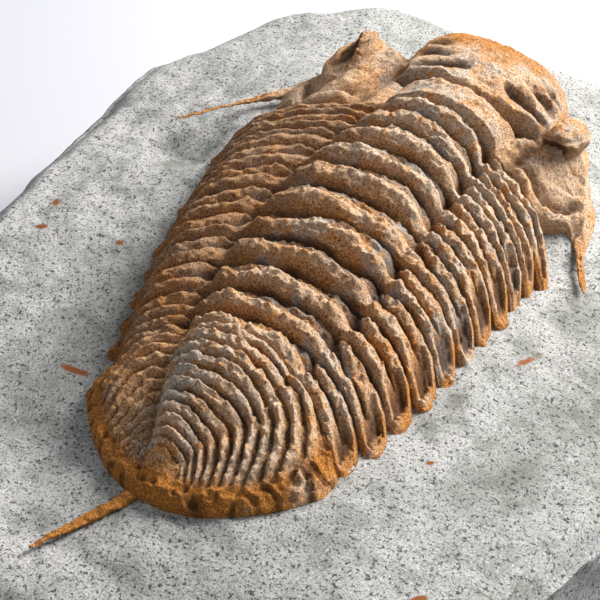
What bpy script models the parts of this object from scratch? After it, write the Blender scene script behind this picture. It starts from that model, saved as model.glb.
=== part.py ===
"""A spiny trilobite lying on a loose slab of matrix, built in metres with +Z up.

The animal's head points along +Y and its right side along +X. Every plate is first drawn in the
fossil's own coordinates (across, along, up) and then laid on the slab by lay(), which gives the body
its slight bend and twist. Lengths are written in millimetres and scaled once, when a mesh is made.
"""

import bmesh
import bpy
import numpy as np

MM = 0.001

# Slab, as seen from above: edge points round its middle, from the animal's left side over the head
SLAB_WIDTH = 90.0
SLAB_LENGTH = 124.0
BED_HEIGHT = 23.0
SLAB_EDGE = (
    (-43.5, -3), (-44, 7), (-44, 17), (-44, 30), (-39.5, 36), (-36.5, 42), (-32, 49), (-25.5, 52),
    (-19, 58.5), (-14.5, 59.5), (-8, 59), (0, 59.5), (6, 61), (12, 60), (21, 56), (30, 49),
    (38, 39), (43, 26), (45, 11), (43.5, -4), (41, -16), (38, -27), (33, -40), (25, -50),
    (14, -58), (0, -61.5), (-14, -59), (-27, -50), (-36, -38), (-41, -21),
)
FOSSIL_SHIFT = (-1.8, -42.2)
EDGE_CHIP = 1.2

# Rings down the slab's sides: height, and spread beside the top edge
SLAB_SIDES = ((10.8, 1.02), (5.4, 0.99), (0.0, 0.955))

# Cells across and along each kind of plate and the bed
SLAB_CELLS = (22, 29)
SEGMENT_CELLS = (18, 4)
HEAD_CELLS = (30, 13)
TAIL_CELLS = (22, 12)

# Stations of the eleven thoracic rings from the head, then the first ring of the tail shield
STATIONS = (62.7, 59.6, 56.0, 51.8, 47.1, 42.4, 37.9, 33.3, 28.8, 24.6, 20.9, 17.7)
THORAX_SEGMENTS = 11

# Sizes at four even stations from the last ring of STATIONS to the first
AXIS_HALF_WIDTH = (6.1, 8.2, 8.3, 6.9)
AXIS_HEIGHT = (8.4, 9.4, 10.7, 11.6)
FURROW_HEIGHT = (5.5, 6.8, 7.5, 7.8)
HALF_WIDTH = (14.9, 18.4, 20.4, 22.1)
TIP_SWEEP = (6.3, 6.0, 7.8, 10.1)
TIP_HEIGHT = (0.5, 0.7, 1.0, 2.6)
PLEURA_POWER = 4.3
RING_RISE = 1.0
BAND_RISE = 0.9

# How far each pleura closes at its tip, and to which line between its edges
TIP_CLOSING = 0.5
TIP_MIDDLE = 0.55

# Bend and twist of the body as it lies
BEND_CENTRE = 41.8
BEND_LENGTH = 33.0
SIDE_SHIFT = (3.0, 3.2)
YAW = (0.02, -0.13)
ROLL = (0.0, 0.15)
BEND_LIMITS = (-1.35, 0.85)

# Gaps and skin
GAP = 0.36
BED_GAP = 0.6
BED_DROP = 1.0
AXIS_SKIN = 2.0

# Head shield
HEAD_HALF_WIDTH = 22.8
HEAD_FRONT = 87.0
HEAD_RIM_HEIGHT = 1.2
HEAD_SIDE_LENGTH = 5.0
CHEEK_HEIGHT = 7.8
CHEEK_LENGTH = 20.0
NECK_HALF_WIDTH = 6.8
GLABELLA_BACK = 69.0
GLABELLA_FRONT = 86.0
GLABELLA_HALF_WIDTH = (8.6, 11.8)
GLABELLA_HEIGHT = 12.3
EYE_PLACE = (13.4, 69.6)
EYE_BASE = 6.2
EYE_TOP = 12.2
EYE_RADIUS = 2.7
GENAL_ROOTS = {-1: (19.6, 69.5, 1.4), 1: (17.4, 69.5, 2.6)}
GENAL_TIPS = {-1: (29.6, 55.4, 0.7), 1: (26.0, 53.6, 0.9)}
GENAL_WIDTHS = {-1: 1.4, 1: 2.0}
GENAL_BOW = 0.5
CORNER_CUT = 7.0

# Tail shield
TAIL_HALF_WIDTH = 15.0
TAIL_END = 2.0
TAIL_POWER = 1.15
TAIL_RACHIS_END = 5.4
TAIL_RIM_HEIGHT = 1.4
TAIL_SLOPE = 6.0
TAIL_SIDE_LENGTH = 1.6
SPINE_ROOT = (-1.2, 3.8)
SPINE_LENGTH = 13.0
SPINE_YAW = -0.45
SPINE_WIDTH = 1.2
SPINE_HEIGHT = 0.5


def along(values, s):
    """Smooth value at station s through four evenly spaced ones."""
    t = (np.asarray(s, float) - STATIONS[-1]) / (STATIONS[0] - STATIONS[-1])
    curve = np.polyfit(np.linspace(0, 1, len(values)), values, len(values) - 1)
    return np.polyval(curve, np.clip(t, -0.12, 1.1))


def smooth(low, high, value):
    """Zero below low, one above high and an even S-curve between."""
    t = np.clip((value - low) / (high - low), 0, 1)
    return t * t * (3 - 2 * t)


def lay(x, s, z):
    """Turn the fossil's own coordinates into places on the slab."""
    u = np.clip((s - BEND_CENTRE) / BEND_LENGTH, *BEND_LIMITS)
    yaw = YAW[0] * u + YAW[1] * u * u
    roll = ROLL[0] + ROLL[1] * u
    across = x * np.cos(roll) + z * np.sin(roll)
    height = z * np.cos(roll) - x * np.sin(roll)
    side = SIDE_SHIFT[0] * u * u + SIDE_SHIFT[1] * u ** 3
    px = side + across * np.cos(yaw) + FOSSIL_SHIFT[0]
    py = s + across * np.sin(yaw) + FOSSIL_SHIFT[1]
    return np.stack([px, py, height + BED_HEIGHT], axis=-1)


def unlay(px, py):
    """Fossil coordinates of a place on the bed, found by a few corrections."""
    x = px - FOSSIL_SHIFT[0]
    s = py - FOSSIL_SHIFT[1]
    for _ in range(12):
        laid = lay(x, s, 0 * x)
        x = x - 0.7 * (laid[..., 0] - px)
        s = s - 0.7 * (laid[..., 1] - py)
    return x, s


def bed_tilt(x, s):
    """Height of the bed beside the body, which follows its twist and evens out further off."""
    u = np.clip((s - BEND_CENTRE) / BEND_LENGTH, *BEND_LIMITS)
    roll = ROLL[0] + ROLL[1] * u
    reach = np.minimum(np.abs(x), HEAD_HALF_WIDTH)
    beyond = np.maximum(np.abs(x) - HEAD_HALF_WIDTH, 0)
    fade = np.where(x < 0, np.exp(-(beyond / 16) ** 2), np.exp(-(beyond / 40) ** 2))
    ends = np.exp(-(np.maximum(s - HEAD_FRONT, 0) / 22) ** 2 - (np.maximum(4 - s, 0) / 9) ** 2)
    return -np.sign(x) * reach * np.sin(roll) * fade * ends


def pleura_reach(x, s):
    """Zero at the furrow beside the axis and one at the pleural tips."""
    axis = along(AXIS_HALF_WIDTH, s)
    return np.clip((np.abs(x) - axis) / (along(HALF_WIDTH, s) - axis), 0, 1.2)


def sweep(x, s):
    """How far back the pleurae have swung at x."""
    return along(TIP_SWEEP, s) * pleura_reach(x, s)


def arch(x, s):
    """Smooth height of the thorax over the bed."""
    axis = np.clip(1 - (x / along(AXIS_HALF_WIDTH, s)) ** 2, 0, 1) ** 0.8
    furrow = along(FURROW_HEIGHT, s)
    tip = along(TIP_HEIGHT, s)
    side = tip + (furrow - tip) * (1 - np.minimum(pleura_reach(x, s), 1) ** PLEURA_POWER)
    return side + (along(AXIS_HEIGHT, s) - furrow) * axis


def tail_half_width(s):
    """Half width of the tail shield's margin at s."""
    reach = (STATIONS[-1] - TIP_SWEEP[0] - TAIL_END)
    t = np.clip((s - TAIL_END) / reach, 0, 1)
    return TAIL_HALF_WIDTH * np.sqrt(np.clip(1 - (1 - t) ** TAIL_POWER, 0, 1))


def head_front(x):
    """Front margin of the head shield."""
    t = np.clip(np.abs(x) / HEAD_HALF_WIDTH, 0, 1)
    return boundary(0, x) + (HEAD_FRONT - boundary(0, 0.0)) * (1 - t ** 2.4) ** 0.5


def core(x, s):
    """Top of the rock that fills the fossil: a dome on the bed, under the plates' skin."""
    neck = STATIONS[0] + 4
    ahead = np.maximum(s - neck, 0) / (HEAD_FRONT - 3 - neck)
    behind = np.maximum(STATIONS[-1] - s, 0) / (STATIONS[-1] - TAIL_END)
    aside = x / along(HALF_WIDTH, s)
    dome = np.clip(1 - aside ** 2 - ahead ** 2 - behind ** 2, 0, 1) ** 1.5
    return (along(FURROW_HEIGHT, s) + BED_DROP - AXIS_SKIN) * dome - BED_DROP


def boundary(index, x):
    """Line between two plates, swept back like the pleurae; index 0 is behind the head shield."""
    if index == 0:
        s = 1.5 * STATIONS[0] - 0.5 * STATIONS[1]
    else:
        s = 0.5 * (STATIONS[index - 1] + STATIONS[index])
    return s - sweep(x, s)


def plate(name, half_width, cells, back, front, top, material):
    """A closed plate between two edge lines, with its own top over the dome of rock."""
    mesh = bmesh.new()
    bmesh.ops.create_grid(mesh, x_segments=cells[0], y_segments=cells[1], size=1.0)
    flat = np.array([vert.co for vert in mesh.verts])
    x = flat[:, 0] * half_width
    part = 0.5 * (flat[:, 1] + 1)
    s = back(x) + part * (front(x) - back(x))
    over = lay(x, s, top(x, s, flat[:, 1]))
    below = lay(x, s, core(x, s) + BED_GAP)
    lower = mesh.verts[:]
    grown = bmesh.ops.extrude_face_region(mesh, geom=mesh.faces[:], use_keep_orig=True)
    upper = [item for item in grown["geom"] if isinstance(item, bmesh.types.BMVert)]
    order = {tuple(np.round(vert.co, 5)): index for index, vert in enumerate(lower)}
    for vert in upper:
        vert.co = over[order[tuple(np.round(vert.co, 5))]] * MM
    for vert, place in zip(lower, below):
        vert.co = place * MM
    return finish(name, mesh, material)


def finish(name, mesh, material):
    """Point the faces outward and put the mesh into the scene as a named object."""
    bmesh.ops.recalc_face_normals(mesh, faces=mesh.faces)
    data = bpy.data.meshes.new(name)
    mesh.to_mesh(data)
    mesh.free()
    data.materials.append(material)
    data.shade_smooth()
    data.set_sharp_from_angle(angle=0.7)
    item = bpy.data.objects.new(name, data)
    bpy.context.scene.collection.objects.link(item)
    return item


def surface(name, color, roughness):
    """A plain surface colour for one kind of stuff."""
    material = bpy.data.materials.new(name)
    material.use_nodes = True
    shader = material.node_tree.nodes["Principled BSDF"]
    shader.inputs["Base Color"].default_value = (*color, 1.0)
    shader.inputs["Roughness"].default_value = roughness
    shader.inputs["Metallic"].default_value = 0.0
    return material


def segment_top(x, s, b):
    """Rounded ring over the axis, and two bands with a furrow between them on the pleurae."""
    on_axis = 1 - smooth(0.8, 1.15, np.abs(x) / along(AXIS_HALF_WIDTH, s))
    ring = RING_RISE * (0.5 - b * b)
    bands = BAND_RISE * np.abs(np.sin(np.pi * b)) - 0.5 * b * b - 0.15
    tip = smooth(0.7, 1.0, pleura_reach(x, s))
    return arch(x, s) + on_axis * ring + (1 - on_axis) * (1 - tip) * bands


def make_segment(index, material):
    """One thoracic segment; index 1 is next to the head shield."""
    width = float(along(HALF_WIDTH, STATIONS[index - 1])) - 0.25 * (index % 2)

    def edge(side):
        def line(x):
            here = boundary(index, x) + GAP / 2
            there = boundary(index - 1, x) - GAP / 2
            middle = here + TIP_MIDDLE * (there - here)
            closing = 1 - TIP_CLOSING * smooth(0.86, 1.0, np.abs(x) / width) ** 2
            return middle + closing * ((here if side < 0 else there) - middle)
        return line

    name = f"thorax_segment_{index:02d}"
    return plate(name, width, SEGMENT_CELLS, edge(-1), edge(1), segment_top, material)


def glabella_half_width(s):
    """Half width of the swollen middle of the head, widest near the front."""
    t = np.clip((s - GLABELLA_BACK) / (GLABELLA_FRONT - GLABELLA_BACK), 0, 1)
    wide = GLABELLA_HALF_WIDTH[0] + (GLABELLA_HALF_WIDTH[1] - GLABELLA_HALF_WIDTH[0]) * t
    return wide * np.sqrt(np.clip(1 - np.maximum((t - 0.6) / 0.4, 0) ** 2, 0.02, 1))


def head_top(x, s, _):
    """Cheeks that fall to the rim, with the neck ring and the glabella over them."""
    inward = np.minimum(1 - np.abs(x) / HEAD_HALF_WIDTH, (head_front(x) - s) / CHEEK_LENGTH)
    cheek = HEAD_RIM_HEIGHT + (CHEEK_HEIGHT - HEAD_RIM_HEIGHT) * smooth(-0.08, 0.42, inward)
    across = np.clip(1 - (x / glabella_half_width(s)) ** 2, 0, 1) ** 0.55
    lengthways = smooth(GLABELLA_BACK - 0.8, GLABELLA_BACK + 1.0, s)
    middle = GLABELLA_BACK + 5.5
    fall = np.maximum(s - middle, 0) / (GLABELLA_FRONT - middle + 0.4)
    rise = np.clip(1 - fall ** 2.2, 0, 1) ** 0.6
    swollen = (GLABELLA_HEIGHT - cheek) * across * lengthways * rise
    neck = along(AXIS_HEIGHT, STATIONS[0]) - CHEEK_HEIGHT
    ring = neck * np.clip(1 - (x / NECK_HALF_WIDTH) ** 2, 0, 1) ** 0.7
    ring = ring * (1 - smooth(GLABELLA_BACK - 1.4, GLABELLA_BACK - 0.4, s))
    return cheek + np.maximum(swollen, ring)


def turret(side, material):
    """One tall eye with its hooded crown, standing on the cheek."""
    mesh = rod(18, 4)
    for vert in mesh.verts:
        level = vert.co.z + 0.5
        waist = 1.0 + 0.2 * (2 * level - 1) ** 2 - 0.3 * max(level - 0.8, 0) / 0.2
        x = vert.co.x * EYE_RADIUS * waist * 0.9
        s = vert.co.y * EYE_RADIUS * waist * 1.2
        z = EYE_BASE + level * (EYE_TOP - EYE_BASE) - 0.5 * max(level - 0.7, 0) * x * side
        place = lay(side * (EYE_PLACE[0] + 0.8 * level) + x, EYE_PLACE[1] + s, z)
        vert.co = place * MM
    return finish("turret_guide", mesh, material)


def genal_spine(side, material):
    """One long cheek spine, from the shield's hind corner back along the body."""
    mesh = rod(10, 8)
    tip = GENAL_TIPS[side]
    for vert in mesh.verts:
        t = vert.co.z + 0.5
        thick = GENAL_WIDTHS[side] * (1 - 0.84 * t ** 1.2)
        bow = GENAL_BOW * np.sin(np.pi * t)
        x, s, z = (root + (end - root) * t for root, end in zip(GENAL_ROOTS[side], tip))
        place = lay(side * (x + bow + vert.co.x * thick), s, z + vert.co.y * thick * 0.42)
        vert.co = place * MM
    return finish("genal_guide", mesh, material)


def tail_spine(material):
    """The long spine behind the tail shield."""
    mesh = rod(10, 8)
    root = lay(*np.array(SPINE_ROOT), 0.0)
    heading = np.array([np.sin(SPINE_YAW), -np.cos(SPINE_YAW)])
    aside = np.array([np.cos(SPINE_YAW), np.sin(SPINE_YAW)])
    for vert in mesh.verts:
        t = vert.co.z + 0.5
        thick = SPINE_WIDTH * (1 - 0.72 * t)
        middle = root[:2] + t * SPINE_LENGTH * heading + vert.co.x * thick * aside
        tilt = bed_tilt(*unlay(*middle))
        height = SPINE_HEIGHT + 0.6 * (1 - t) ** 2 + vert.co.y * thick * 0.5
        vert.co = np.array([*middle, BED_HEIGHT + tilt + height]) * MM
    return finish("spine_guide", mesh, material)


def rod(sides, lengths):
    """An upright rod of radius and length one, cut into short lengths."""
    mesh = bmesh.new()
    bmesh.ops.create_cone(mesh, cap_ends=True, segments=sides, radius1=1.0, radius2=1.0, depth=1.0)
    upright = [edge for edge in mesh.edges if abs(edge.verts[0].co.z - edge.verts[1].co.z) > 0.5]
    bmesh.ops.subdivide_edges(mesh, edges=upright, cuts=lengths - 1)
    return mesh


def join(body, pieces):
    """Grow pieces out of a body, so that they are one solid."""
    for piece in pieces:
        union = body.modifiers.new(piece.name, "BOOLEAN")
        union.operation = "UNION"
        union.solver = "EXACT"
        union.object = piece
        piece.hide_render = True
        piece.display_type = "WIRE"


def make_head(material):
    """Head shield with its eyes and cheek spines."""
    def back(x):
        return boundary(0, x) + GAP / 2 + CORNER_CUT * smooth(15.0, 21.5, np.abs(x))

    def front(x):
        return np.maximum(head_front(x), back(x) + HEAD_SIDE_LENGTH)

    head = plate("cephalon", HEAD_HALF_WIDTH - 0.6, HEAD_CELLS, back, front, head_top, material)
    join(head, [grow(side, material) for grow in (turret, genal_spine) for side in (-1, 1)])
    return head


def tail_top(x, s, _):
    """Sides that fall to a thick border, and over them the axis, which narrows backwards."""
    inward = np.clip((tail_half_width(s) - np.abs(x)) / TAIL_SLOPE, 0, 1)
    end = smooth(TAIL_END - 2, STATIONS[-1], s)
    rise = along(FURROW_HEIGHT, STATIONS[-1]) - TAIL_RIM_HEIGHT
    side = TAIL_RIM_HEIGHT + rise * end * smooth(0, 1, inward)
    taper = smooth(TAIL_RACHIS_END - 4.0, STATIONS[-1], s)
    axis = np.clip(1 - (x / (1.2 + 4.9 * taper)) ** 2, 0, 1) ** 0.8
    return side + (1.2 + 1.7 * taper) * axis * smooth(TAIL_RACHIS_END - 3, TAIL_RACHIS_END + 1, s)


def make_tail(material):
    """Tail shield with its long spine."""
    width = TAIL_HALF_WIDTH - 0.3

    def front(x):
        return boundary(THORAX_SEGMENTS, x) - GAP / 2

    def back(x):
        t = np.clip(np.abs(x) / TAIL_HALF_WIDTH, 0, 1)
        reach = STATIONS[-1] - TIP_SWEEP[0] - TAIL_END
        margin = TAIL_END + reach * (1 - (1 - t * t) ** (1 / TAIL_POWER))
        return np.minimum(margin, front(x) - TAIL_SIDE_LENGTH)

    tail = plate("pygidium", width, TAIL_CELLS, back, front, tail_top, material)
    join(tail, [tail_spine(material)])
    return tail


def slab_outline(angle):
    """Distance from the slab's middle to its edge."""
    edge = np.array(SLAB_EDGE)
    turns = np.degrees(np.arctan2(edge[:, 1], edge[:, 0]))
    order = np.argsort(turns)
    return np.interp(np.degrees(angle), turns[order], np.hypot(*edge.T)[order], period=360)


def bed(px, py):
    """Top of the slab: gentle waves, the twist beside the body and the dome of rock inside it."""
    x, s = unlay(px, py)
    waves = 0.5 * np.sin(px / 11 + 1.3) * np.cos(py / 14 - 0.4)
    clear = smooth(9, 15, np.abs(x) - HEAD_HALF_WIDTH)
    clear = np.maximum(clear, smooth(4, 14, s - HEAD_FRONT))
    clear = np.maximum(clear, smooth(0, 6, -s - SPINE_LENGTH))
    return BED_HEIGHT + bed_tilt(x, s) + waves * clear + core(x, s)


def make_slab(material):
    """The loose slab with a flat foot, broken sides and the uneven bed on top."""
    mesh = bmesh.new()
    bmesh.ops.create_grid(mesh, x_segments=SLAB_CELLS[0], y_segments=SLAB_CELLS[1], size=1.0)
    flat = np.array([vert.co for vert in mesh.verts])
    disc_x = flat[:, 0] * np.sqrt(1 - flat[:, 1] ** 2 / 2)
    disc_y = flat[:, 1] * np.sqrt(1 - flat[:, 0] ** 2 / 2)
    radius = np.hypot(disc_x, disc_y)
    angle = np.arctan2(disc_y, disc_x)
    px = radius * slab_outline(angle) * np.cos(angle)
    py = radius * slab_outline(angle) * np.sin(angle)
    px = px - (px.max() + px.min()) / 2
    py = py - (py.max() + py.min()) / 2
    widest = SLAB_SIDES[0][1]
    px = px / np.abs(px).max() * SLAB_WIDTH / 2 / widest
    py = py / np.abs(py).max() * SLAB_LENGTH / 2 / widest
    pz = bed(px, py) - EDGE_CHIP * smooth(0.94, 1.0, radius)
    for vert, place in zip(mesh.verts, np.stack([px, py, pz], axis=-1)):
        vert.co = place * MM
    rim = [edge for edge in mesh.edges if edge.is_boundary]
    above = 1.0
    for height, spread in SLAB_SIDES:
        grown = bmesh.ops.extrude_edge_only(mesh, edges=rim)["geom"]
        rim = [item for item in grown if isinstance(item, bmesh.types.BMEdge)]
        ring = [item for item in grown if isinstance(item, bmesh.types.BMVert)]
        for vert in ring:
            vert.co.x *= spread / above
            vert.co.y *= spread / above
            vert.co.z = height * MM
        above = spread
    bmesh.ops.holes_fill(mesh, edges=rim, sides=0)
    return finish("matrix_slab", mesh, material)


def clear_scene():
    """Start from an empty scene."""
    for item in list(bpy.data.objects):
        bpy.data.objects.remove(item, do_unlink=True)


def main():
    clear_scene()
    rock = surface("matrix_rock", (0.55, 0.55, 0.52), 0.92)
    crust = surface("fossil_crust", (0.30, 0.15, 0.06), 0.75)
    make_slab(rock)
    make_head(crust)
    for index in range(1, THORAX_SEGMENTS + 1):
        make_segment(index, crust)
    make_tail(crust)


main()
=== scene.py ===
import math

import bmesh
import bpy
import numpy as np
from mathutils import Matrix, Vector


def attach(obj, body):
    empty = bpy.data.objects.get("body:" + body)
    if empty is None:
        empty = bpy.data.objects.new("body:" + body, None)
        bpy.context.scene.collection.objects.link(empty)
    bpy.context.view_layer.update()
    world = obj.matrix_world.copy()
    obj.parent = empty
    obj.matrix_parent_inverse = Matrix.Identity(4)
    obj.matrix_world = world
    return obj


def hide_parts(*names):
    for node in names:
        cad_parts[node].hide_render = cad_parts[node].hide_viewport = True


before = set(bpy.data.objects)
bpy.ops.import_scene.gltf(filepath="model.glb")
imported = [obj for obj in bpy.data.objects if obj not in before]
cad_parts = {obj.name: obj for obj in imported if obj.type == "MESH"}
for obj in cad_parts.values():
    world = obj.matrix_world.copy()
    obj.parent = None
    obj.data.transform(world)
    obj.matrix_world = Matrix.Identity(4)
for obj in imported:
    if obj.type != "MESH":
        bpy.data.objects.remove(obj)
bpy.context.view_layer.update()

MM = 0.001

# The fossil's own measures in millimetres, close to those of the solids
SLAB_WIDTH = 90.0
SLAB_LENGTH = 124.0
BED_HEIGHT = 23.0
SLAB_EDGE = (
    (-43.5, -3), (-44, 7), (-44, 17), (-44, 30), (-39.5, 36), (-36.5, 42), (-32, 49), (-25.5, 52),
    (-19, 58.5), (-14.5, 59.5), (-8, 59), (0, 59.5), (6, 61), (12, 60), (21, 56), (30, 49),
    (38, 39), (43, 26), (45, 11), (43.5, -4), (41, -16), (38, -27), (33, -40), (25, -50),
    (14, -58), (0, -61.5), (-14, -59), (-27, -50), (-36, -38), (-41, -21),
)
FOSSIL_SHIFT = (-1.8, -42.2)
STATIONS = (62.7, 59.6, 56.0, 51.8, 47.1, 42.4, 37.9, 33.3, 28.8, 24.6, 20.9, 17.7)
THORAX_SEGMENTS = 11
AXIS_HALF_WIDTH = (6.1, 8.2, 8.3, 6.9)
AXIS_HEIGHT = (8.4, 9.4, 10.7, 11.6)
FURROW_HEIGHT = (5.5, 6.8, 7.5, 7.8)
HALF_WIDTH = (14.9, 18.4, 20.4, 22.1)
TIP_SWEEP = (6.3, 6.0, 7.8, 10.1)
TIP_HEIGHT = (0.5, 0.7, 1.0, 2.6)
PLEURA_POWER = 4.3
BEND_CENTRE = 41.8
BEND_LENGTH = 33.0
SIDE_SHIFT = (3.0, 3.2)
YAW = (0.02, -0.13)
ROLL = (0.0, 0.15)
BEND_LIMITS = (-1.35, 0.85)
BED_DROP = 1.0
AXIS_SKIN = 2.0
PLATE_GAP = 0.03
SKIN_DEPTH = 0.4
HEAD_HALF_WIDTH = 22.8
HEAD_FRONT = 87.0
HEAD_RIM_HEIGHT = 1.2
HEAD_SIDE_LENGTH = 1.8
CHEEK_HEIGHT = 7.8
GLABELLA_BACK = 69.0
GLABELLA_FRONT = 86.0
GLABELLA_HALF_WIDTH = (9.6, 12.0)
GLABELLA_HEIGHT = 12.3
LOBE_FURROWS = ((71.2, 1.5, 0.15), (74.2, 1.1, 0.4), (76.9, 0.8, 0.5))
NECK_RING_HALF_WIDTH = 7.4
LEDGE_STATION = 70.6
EYE_PLACES = {-1: (14.8, 69.6), 1: (12.1, 69.6)}
EYE_BASE = 6.2
EYE_TOP = 12.2
EYE_RADIUS = 2.7
EYE_CROWN_DROP = {-1: 1.4, 1: 0.8}
EYE_HOLLOW_TURN = {-1: -0.7, 1: -1.5}
EYE_HOLLOW_LEVEL = {-1: 0.78, 1: 0.70}
EYE_HOLLOW_DEPTH = 2.0
EYE_STALK_HEIGHT = {-1: 1.8, 1: 2.1}
LENS_COLUMNS = 17
LENS_ROW_ANGLE = 44
GENAL_ROOTS = {-1: (18.6, 69.5, 1.4), 1: (17.2, 69.5, 1.6)}
GENAL_TIPS = {-1: (29.6, 55.4, 0.7), 1: (26.0, 53.6, 0.9)}
GENAL_WIDTHS = {-1: 1.1, 1: 2.0}
GENAL_BOW = 0.2
CORNER_CUT = 7.0
TAIL_HALF_WIDTH = 15.0
TAIL_END = 2.0
TAIL_POWER = 1.15
TAIL_RACHIS_END = 5.4
TAIL_RIM_HEIGHT = 1.4
TAIL_RINGS = 11
TAIL_BORDER = 2.3
SPINE_ROOT = (-1.2, 3.8)
SPINE_LENGTH = 13.0
SPINE_YAW = -0.45
SPINE_WIDTH = 1.2
SIDE_SWELL = 1.02
EDGE_CHIP_DEPTH = 1.6
HEAD_ROUGHNESS = 0.6

# Chipped and undercut places of the tail shield: place and two half widths
TAIL_CHIP = ((13.1, 9.9), 1.0, 1.4)
TAIL_UNDERCUT = ((5.3, 3.5), 1.1, 0.5)

# Cells of each grid, across and along, and the rings of the slab's sides
SEGMENT_CELLS = (220, 44)
TAIL_CELLS = (210, 150)
HEAD_CELLS = (220, 150)
SLAB_CELLS = (218, 298)
SIDE_RINGS = 28

# Half width of the fossil's outline on the bed at stations from tail to head
OUTLINE_STATIONS = (2.0, 4.0, 8.0, 12.0, 25.0, 40.0, 55.0, 67.0, 74.0, 80.0, 87.0)
OUTLINE_HALF_WIDTHS = (2.0, 7.5, 12.5, 15.0, 18.0, 20.5, 22.0, 21.0, 18.0, 14.0, 3.0)

# Hollows in the bed: place, half length, half width and depth
BED_HOLLOWS = (
    ((-29.0, 11.5), 4.5, 3.2, 1.9),
    ((-26.5, 15.5), 2.2, 4.0, 0.9),
    ((-12.0, -47.5), 5.0, 2.0, 0.5),
)

# Mounds of rock left beside the fossil: place, half length, half width and height
BED_MOUNDS = (
    ((19.6, 21.0), 2.0, 4.5, 1.5),
    ((25.6, 19.0), 1.6, 5.0, 0.5),
)

# Dark greenish patches in the rock, partly a painted shadow beside the body: place, half length and half
# width
ROCK_SHADES = (
    ((25.3, 8.6), 3.0, 4.0),
    ((22.7, -1.5), 1.6, 2.6),
    ((18.8, -14.0), 1.8, 1.8),
    ((18.1, -18.5), 1.3, 1.8),
    ((-21.0, -15.0), 4.5, 13.0),
    ((-27.5, 10.0), 3.5, 4.0),
    ((33.0, -6.0), 7.0, 12.0),
    ((27.0, -22.0), 4.0, 6.0),
)

# Lines of places along which fine veins show in the rock
ROCK_VEINS = (
    ((31.3, -19.2), (31.9, -25.5), (31.0, -28.7), (29.6, -33.0)),
    ((31.7, -34.9), (31.3, -37.9), (29.5, -42.0)),
)

# Rust stains on the bed: place, half length, half width and turn
RUST_SPOTS = (
    ((-20.2, -25.9), 2.4, 0.45, -0.15),
    ((-37.2, -3.6), 0.45, 0.9, 0.2),
    ((-35.9, -8.2), 1.0, 0.45, 0.3),
    ((-26.1, -7.0), 0.6, 0.4, 0.0),
    ((-29.4, 19.9), 0.5, 0.4, 0.0),
    ((22.9, -3.4), 2.6, 0.4, 1.2),
    ((20.0, -23.7), 0.5, 0.3, 0.5),
    ((25.4, -40.2), 1.6, 0.4, 0.9),
)

# Colours of the crust: pairs for its dark and pale grains, then single ones
BROWN = ((0.25, 0.095, 0.032), (0.94, 0.52, 0.23))
RUSTY = ((0.34, 0.104, 0.026), (0.96, 0.45, 0.12))
TAN = ((0.55, 0.31, 0.17), (0.97, 0.74, 0.52))
GREY = ((0.32, 0.285, 0.24), (0.86, 0.80, 0.72))
GOLD = ((0.36, 0.105, 0.012), (0.82, 0.345, 0.06))
CRUST_FLECK = (0.86, 0.76, 0.62)
# Near-black laid in the crust's hollows: painted shade together with brown staining
CRUST_SHADE_AND_STAIN = (0.075, 0.028, 0.012)
CRUST_SPECK = (0.035, 0.019, 0.013)

# Colours of the rock and of the floor
ROCK_PALE = (0.42, 0.412, 0.40)
ROCK_GREY = (0.34, 0.34, 0.325)
ROCK_MOTTLE = (0.26, 0.265, 0.247)
ROCK_FLECK = (0.60, 0.59, 0.575)
# Greenish tone of the rock's dark patches, partly painted shadow beside the body
ROCK_GREEN_AND_SHADOW = (0.13, 0.135, 0.115)
ROCK_FINE_SPECK = (0.09, 0.09, 0.086)
ROCK_SPECK = (0.030, 0.029, 0.028)
ROCK_VEIN = (0.13, 0.14, 0.095)
ROCK_RUST = (0.19, 0.066, 0.018)
FLOOR_COLOR = (0.455, 0.46, 0.49, 1.0)

# Lights: name, direction, distance, size, power and colour
LIGHTS = (
    ("soft_window", (0.50, 0.87, 0.80), 0.33, 0.17, 3.25, (1.0, 0.985, 0.96)),
    ("sky_fill", (-0.3, -0.4, 0.9), 0.8, 0.7, 0.6, (0.93, 0.96, 1.0)),
)
SURROUND_COLOR = (0.90, 0.93, 1.0, 1.0)
SURROUND_STRENGTH = 0.38

# Camera, from the photograph's viewing angle
CAMERA_PLACE = (48.3, -121.5, 134.6)
CAMERA_AZIMUTH = 23.97
CAMERA_ELEVATION = 41.56
CAMERA_ROLL = 3.79
CAMERA_PIXELS = 1503.4
IMAGE_PIXELS = 600
SENSOR_WIDTH = 36.0


def along(values, s):
    """Smooth value at station s through four evenly spaced ones."""
    t = (np.asarray(s, float) - STATIONS[-1]) / (STATIONS[0] - STATIONS[-1])
    curve = np.polyfit(np.linspace(0, 1, len(values)), values, len(values) - 1)
    return np.polyval(curve, np.clip(t, -0.12, 1.1))


def smooth(low, high, value):
    """Zero below low, one above high and an even S-curve between."""
    t = np.clip((value - low) / (high - low), 0, 1)
    return t * t * (3 - 2 * t)


def ridge(value, centre, width):
    """A rounded ridge of height one."""
    return np.exp(-((value - centre) / width) ** 2)


def rope(value, centre, half):
    """Round cross-section of a cord: one along its middle and zero at its sides."""
    return np.sqrt(np.clip(1 - ((value - centre) / half) ** 2, 0, 1))


def oval(px, py, place, long, wide):
    """An oval spot of height one at a place, with two half widths."""
    return np.exp(-((px - place[0]) / long) ** 2 - ((py - place[1]) / wide) ** 2)


def grain(points, size, seed):
    """Random relief between minus one and one, with lumps about size across."""
    table = np.random.default_rng(seed).uniform(-1, 1, (32, 32, 32))
    place = points / size
    cell = np.floor(place).astype(int)
    part = place - cell
    part = part * part * (3 - 2 * part)
    total = 0.0
    for corner in np.ndindex(2, 2, 2):
        weight = np.prod(np.where(corner, part, 1 - part), axis=-1)
        near = (cell + corner) & 31
        total = total + weight * table[near[..., 0], near[..., 1], near[..., 2]]
    return total


def patches(points, size, seed, low, high):
    """Scattered patches, one inside and zero outside, with soft edges."""
    return smooth(low, high, 0.5 + 0.5 * grain(points, size, seed))


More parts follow.
